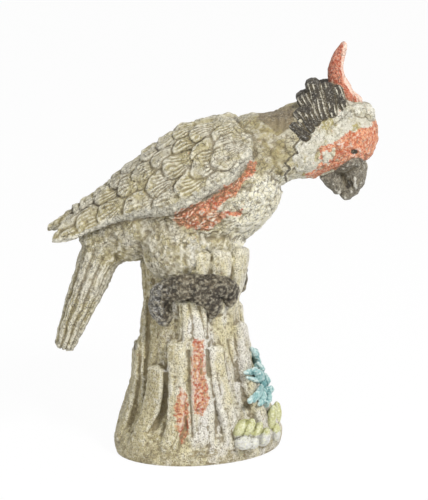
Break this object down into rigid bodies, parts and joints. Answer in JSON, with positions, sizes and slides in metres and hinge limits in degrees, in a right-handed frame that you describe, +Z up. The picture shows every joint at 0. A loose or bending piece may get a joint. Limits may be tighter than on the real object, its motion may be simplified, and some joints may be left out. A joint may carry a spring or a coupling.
{
  "type": "parrot figurine",
  "caption": "Painted cast figurine of a crested cockatoo leaning forward on a tree stump, with carved feathers, bark, fern leaflets and a flat underside to stand on",
  "frame": {"origin": "middle of the stump's flat underside, where the figurine stands", "axes": "+Z up, +X the way the bird looks, -Y the bird's right side, which the picture shows"},
  "size_m": [0.2737, 0.119, 0.3459],
  "materials": {
    "painted_casting": "matt aged paint in stone, red, dark grey and pale teal, with a brown wash in the carving"
  },
  "bodies": {
    "root": {"cockatoo_figurine": "painted_casting"}
  },
  "joints": []
}
